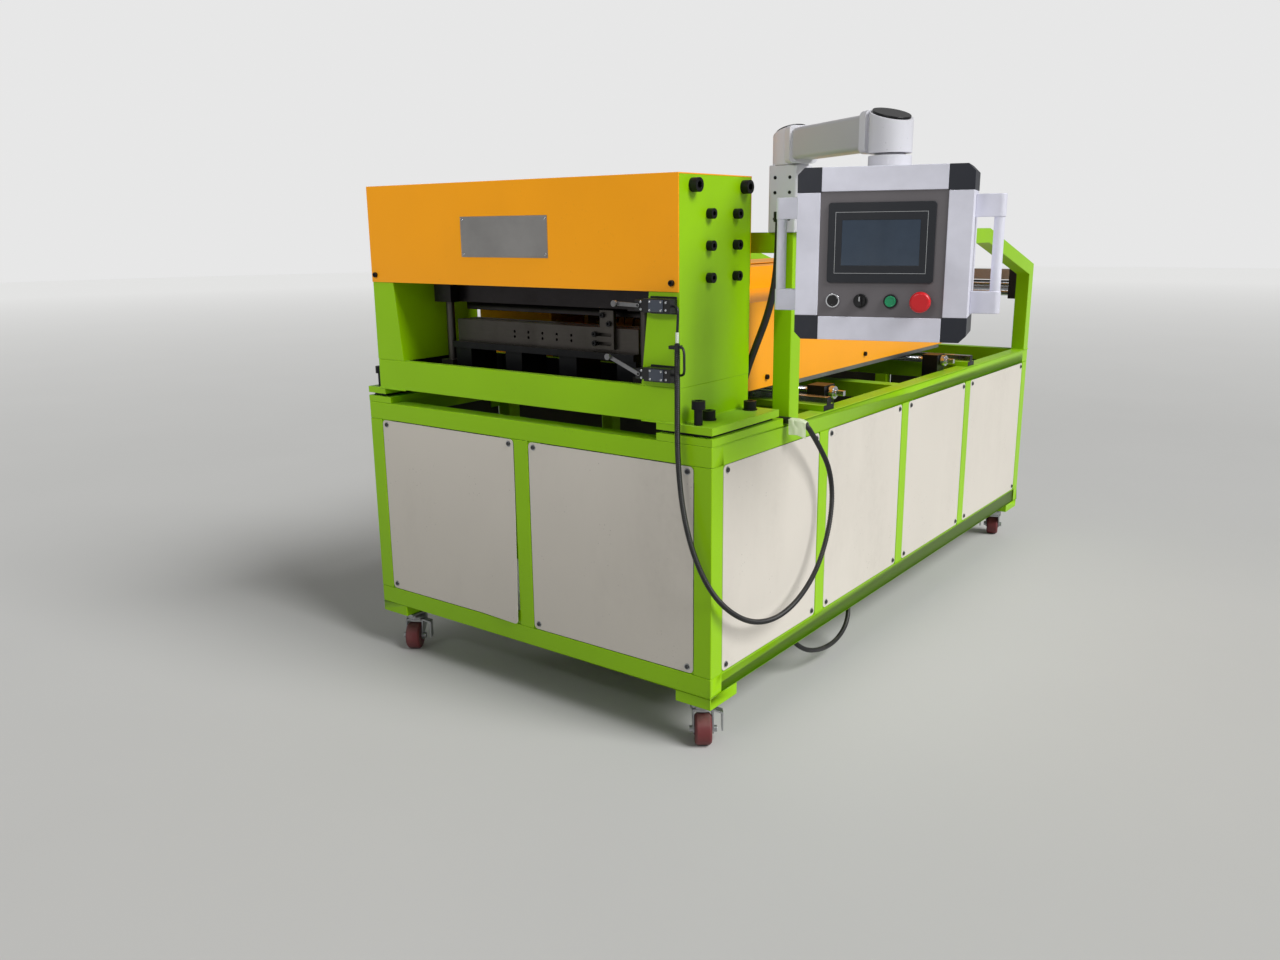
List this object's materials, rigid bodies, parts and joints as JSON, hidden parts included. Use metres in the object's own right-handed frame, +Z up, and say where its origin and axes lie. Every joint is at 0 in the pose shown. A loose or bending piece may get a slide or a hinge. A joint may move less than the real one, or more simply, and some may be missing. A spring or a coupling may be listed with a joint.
{
  "type": "roof panel roll forming machine",
  "caption": "Wheeled green roll former for roof panels: shear portal in front, hooded roll rows, guard loops, swing-arm operator panel.",
  "frame": {"origin": "middle of the footprint of all rigid pieces, on the floor", "axes": "+X right along the short front, +Y to the rear where the sheet enters, +Z up"},
  "size_m": [1.763, 2.3626, 1.4963],
  "materials": {
    "green_paint": "bright yellow-green enamel",
    "orange_paint": "orange enamel on folded sheet",
    "white_paint": "warm white enamel on flat sheet",
    "zinc_steel": "zinc plated pressings",
    "red_tread": "dark red polyurethane",
    "black_steel": "black oxide and black paint",
    "tool_steel": "dark oiled tool steel",
    "bright_steel": "ground and plated",
    "row_steel": "machined steel",
    "motor_paint": "dark blue-grey enamel",
    "arm_paint": "light grey powder coat",
    "panel_aluminium": "satin anodised profiles",
    "dark_plastic": "dark grey moulded plastic",
    "face_paint": "mid grey fine texture",
    "screen_glass": "dark bezel with a blue-grey display",
    "black_knob": "black plastic",
    "green_knob": "green plastic",
    "red_knob": "red plastic",
    "cable_rubber": "black corrugated sleeve and cable"
  },
  "bodies": {
    "base": {"base_top_frame": "green_paint", "base_bottom_frame": "green_paint", "base_uprights": "green_paint", "portal_feet": "green_paint", "portal_lower_beam": "green_paint", "portal_frame": "green_paint", "guard_right": "green_paint", "guard_left": "green_paint", "portal_covers": "orange_paint", "left_hood": "orange_paint", "cover_panels": "white_paint", "caster_plates": "zinc_steel", "portal_bolts": "black_steel", "slide_ways": "black_steel", "limit_switches": "black_steel", "lower_die": "tool_steel", "edge_guide": "tool_steel", "press_cylinders": "tool_steel", "guide_rods": "bright_steel", "left_roll_row": "row_steel", "entry_guide": "row_steel", "drive_motor": "motor_paint", "arm_bracket": "arm_paint", "cable_fittings": "dark_plastic", "switch_loom_cable": "cable_rubber", "under_rail_cable": "cable_rubber", "arm_conduit_cable": "cable_rubber", "upper_switch_lead": "cable_rubber", "lower_switch_lead": "cable_rubber"},
    "ram": {"ram": "tool_steel"},
    "lower_lever": {"lower_switch_lever": "bright_steel"},
    "upper_lever": {"upper_switch_lever": "bright_steel"},
    "lower_entry_roller": {"entry_lower_roller": "bright_steel"},
    "upper_entry_roller": {"entry_upper_roller": "bright_steel"},
    "right_row": {"right_roll_row": "row_steel", "right_hood": "orange_paint"},
    "front_screw": {"front_lead_screw": "bright_steel"},
    "rear_screw": {"rear_lead_screw": "bright_steel"},
    "left_lower_roll": {"left_lower_roll": "row_steel"},
    "left_upper_roll": {"left_upper_roll": "row_steel"},
    "right_lower_roll": {"right_lower_roll": "row_steel"},
    "right_upper_roll": {"right_upper_roll": "row_steel"},
    "arm": {"swing_arm": "arm_paint"},
    "panel": {"panel_housing": "panel_aluminium", "panel_corners": "dark_plastic", "panel_face": "face_paint", "touch_screen": "screen_glass", "panel_handles": "panel_aluminium"},
    "black_button": {"black_button": "black_knob"},
    "selector": {"selector_switch": "black_knob"},
    "green_button": {"green_button": "green_knob"},
    "stop_button": {"stop_button": "red_knob"},
    "front_right_fork": {"front_right_fork": "zinc_steel"},
    "front_right_wheel": {"front_right_wheel": "red_tread"},
    "front_left_fork": {"front_left_fork": "zinc_steel"},
    "front_left_wheel": {"front_left_wheel": "red_tread"},
    "rear_right_fork": {"rear_right_fork": "zinc_steel"},
    "rear_right_wheel": {"rear_right_wheel": "red_tread"},
    "rear_left_fork": {"rear_left_fork": "zinc_steel"},
    "rear_left_wheel": {"rear_left_wheel": "red_tread"}
  },
  "joints": [
    {"name": "front_right_swivel", "type": "hinge", "parent": "base", "child": "front_right_fork", "pos_m": [0.25052, -1.07251, 0.085], "axis": [0, 0, 1], "continuous": true},
    {"name": "front_right_roll", "type": "hinge", "parent": "front_right_fork", "child": "front_right_wheel", "pos_m": [0.26737, -1.09487, 0.04], "axis": [0.7986, 0.6018, 0], "continuous": true},
    {"name": "front_left_swivel", "type": "hinge", "parent": "base", "child": "front_left_fork", "pos_m": [-0.81348, -1.07251, 0.085], "axis": [0, 0, 1], "continuous": true},
    {"name": "front_left_roll", "type": "hinge", "parent": "front_left_fork", "child": "front_left_wheel", "pos_m": [-0.79823, -1.096, 0.04], "axis": [0.8387, 0.5446, 0], "continuous": true},
    {"name": "rear_right_swivel", "type": "hinge", "parent": "base", "child": "rear_right_fork", "pos_m": [0.25052, 1.11149, 0.085], "axis": [0, 0, 1], "continuous": true},
    {"name": "rear_right_roll", "type": "hinge", "parent": "rear_right_fork", "child": "rear_right_wheel", "pos_m": [0.24327, 1.13853, 0.04], "axis": [-0.9659, -0.2588, 0], "continuous": true},
    {"name": "rear_left_swivel", "type": "hinge", "parent": "base", "child": "rear_left_fork", "pos_m": [-0.81348, 1.11149, 0.085], "axis": [0, 0, 1], "continuous": true},
    {"name": "rear_left_roll", "type": "hinge", "parent": "rear_left_fork", "child": "rear_left_wheel", "pos_m": [-0.8039, 1.1378, 0.04], "axis": [-0.9397, 0.342, 0], "continuous": true},
    {"name": "ram_stroke", "type": "slide", "parent": "base", "child": "ram", "axis": [0, 0, 1], "range_m": [-0.04, 0]},
    {"name": "lower_lever_tilt", "type": "hinge", "parent": "base", "child": "lower_lever", "pos_m": [0.13452, -1.17051, 0.931], "axis": [0, 1, 0], "range_deg": [-15, 15], "stiffness_Nm_per_rad": 0.3},
    {"name": "upper_lever_tilt", "type": "hinge", "parent": "base", "child": "upper_lever", "pos_m": [0.13452, -1.17051, 1.088], "axis": [0, 1, 0], "range_deg": [-15, 12], "stiffness_Nm_per_rad": 0.3},
    {"name": "lower_entry_roll", "type": "hinge", "parent": "base", "child": "lower_entry_roller", "pos_m": [-0.28148, 1.15449, 0.998], "axis": [1, 0, 0], "continuous": true},
    {"name": "upper_entry_roll", "type": "hinge", "parent": "base", "child": "upper_entry_roller", "pos_m": [-0.28148, 1.15449, 1.0285], "axis": [1, 0, 0], "continuous": true},
    {"name": "row_slide", "type": "slide", "parent": "base", "child": "right_row", "axis": [1, 0, 0], "range_m": [-0.08, 0.02]},
    {"name": "front_screw_turn", "type": "hinge", "parent": "base", "child": "front_screw", "pos_m": [0.01852, -0.46051, 0.8065], "axis": [1, 0, 0], "range_deg": [-3600, 900]},
    {"name": "rear_screw_turn", "type": "hinge", "parent": "base", "child": "rear_screw", "pos_m": [0.01852, 0.37449, 0.8065], "axis": [1, 0, 0], "range_deg": [-3600, 900]},
    {"name": "left_lower_turn", "type": "hinge", "parent": "base", "child": "left_lower_roll", "pos_m": [-0.38148, 0.42949, 0.961], "axis": [1, 0, 0], "continuous": true},
    {"name": "left_upper_turn", "type": "hinge", "parent": "base", "child": "left_upper_roll", "pos_m": [-0.38148, 0.42949, 1.049], "axis": [1, 0, 0], "continuous": true},
    {"name": "right_lower_turn", "type": "hinge", "parent": "right_row", "child": "right_lower_roll", "pos_m": [-0.18148, 0.42949, 0.961], "axis": [1, 0, 0], "continuous": true},
    {"name": "right_upper_turn", "type": "hinge", "parent": "right_row", "child": "right_upper_roll", "pos_m": [-0.18148, 0.42949, 1.049], "axis": [1, 0, 0], "continuous": true},
    {"name": "arm_swing", "type": "hinge", "parent": "base", "child": "arm", "pos_m": [0.29352, -0.75751, 1.403], "axis": [0, 0, 1], "range_deg": [-20, 75]},
    {"name": "panel_swivel", "type": "hinge", "parent": "arm", "child": "panel", "pos_m": [0.65417, -0.99623, 1.3765], "axis": [0, 0, 1], "range_deg": [-90, 90]},
    {"name": "black_button_push", "type": "slide", "parent": "panel", "child": "black_button", "axis": [0.2656, -0.9641, 0], "range_m": [-0.004, 0], "stiffness_N_per_m": 400},
    {"name": "green_button_push", "type": "slide", "parent": "panel", "child": "green_button", "axis": [0.2656, -0.9641, 0], "range_m": [-0.004, 0], "stiffness_N_per_m": 400},
    {"name": "stop_button_push", "type": "slide", "parent": "panel", "child": "stop_button", "axis": [0.2656, -0.9641, 0], "range_m": [-0.004, 0], "stiffness_N_per_m": 600},
    {"name": "selector_turn", "type": "hinge", "parent": "panel", "child": "selector", "pos_m": [0.634, -1.06609, 1.108], "axis": [0.2656, -0.9641, 0], "range_deg": [-45, 45]}
  ],
  "couplings": [
    {"joint": "front_screw_turn", "follows": "row_slide", "rad_per_m": 785.4},
    {"joint": "rear_screw_turn", "follows": "row_slide", "rad_per_m": 785.4},
    {"joint": "left_upper_turn", "follows": "left_lower_turn", "ratio": -1},
    {"joint": "right_lower_turn", "follows": "left_lower_turn", "ratio": 1},
    {"joint": "right_upper_turn", "follows": "left_lower_turn", "ratio": -1}
  ]
}
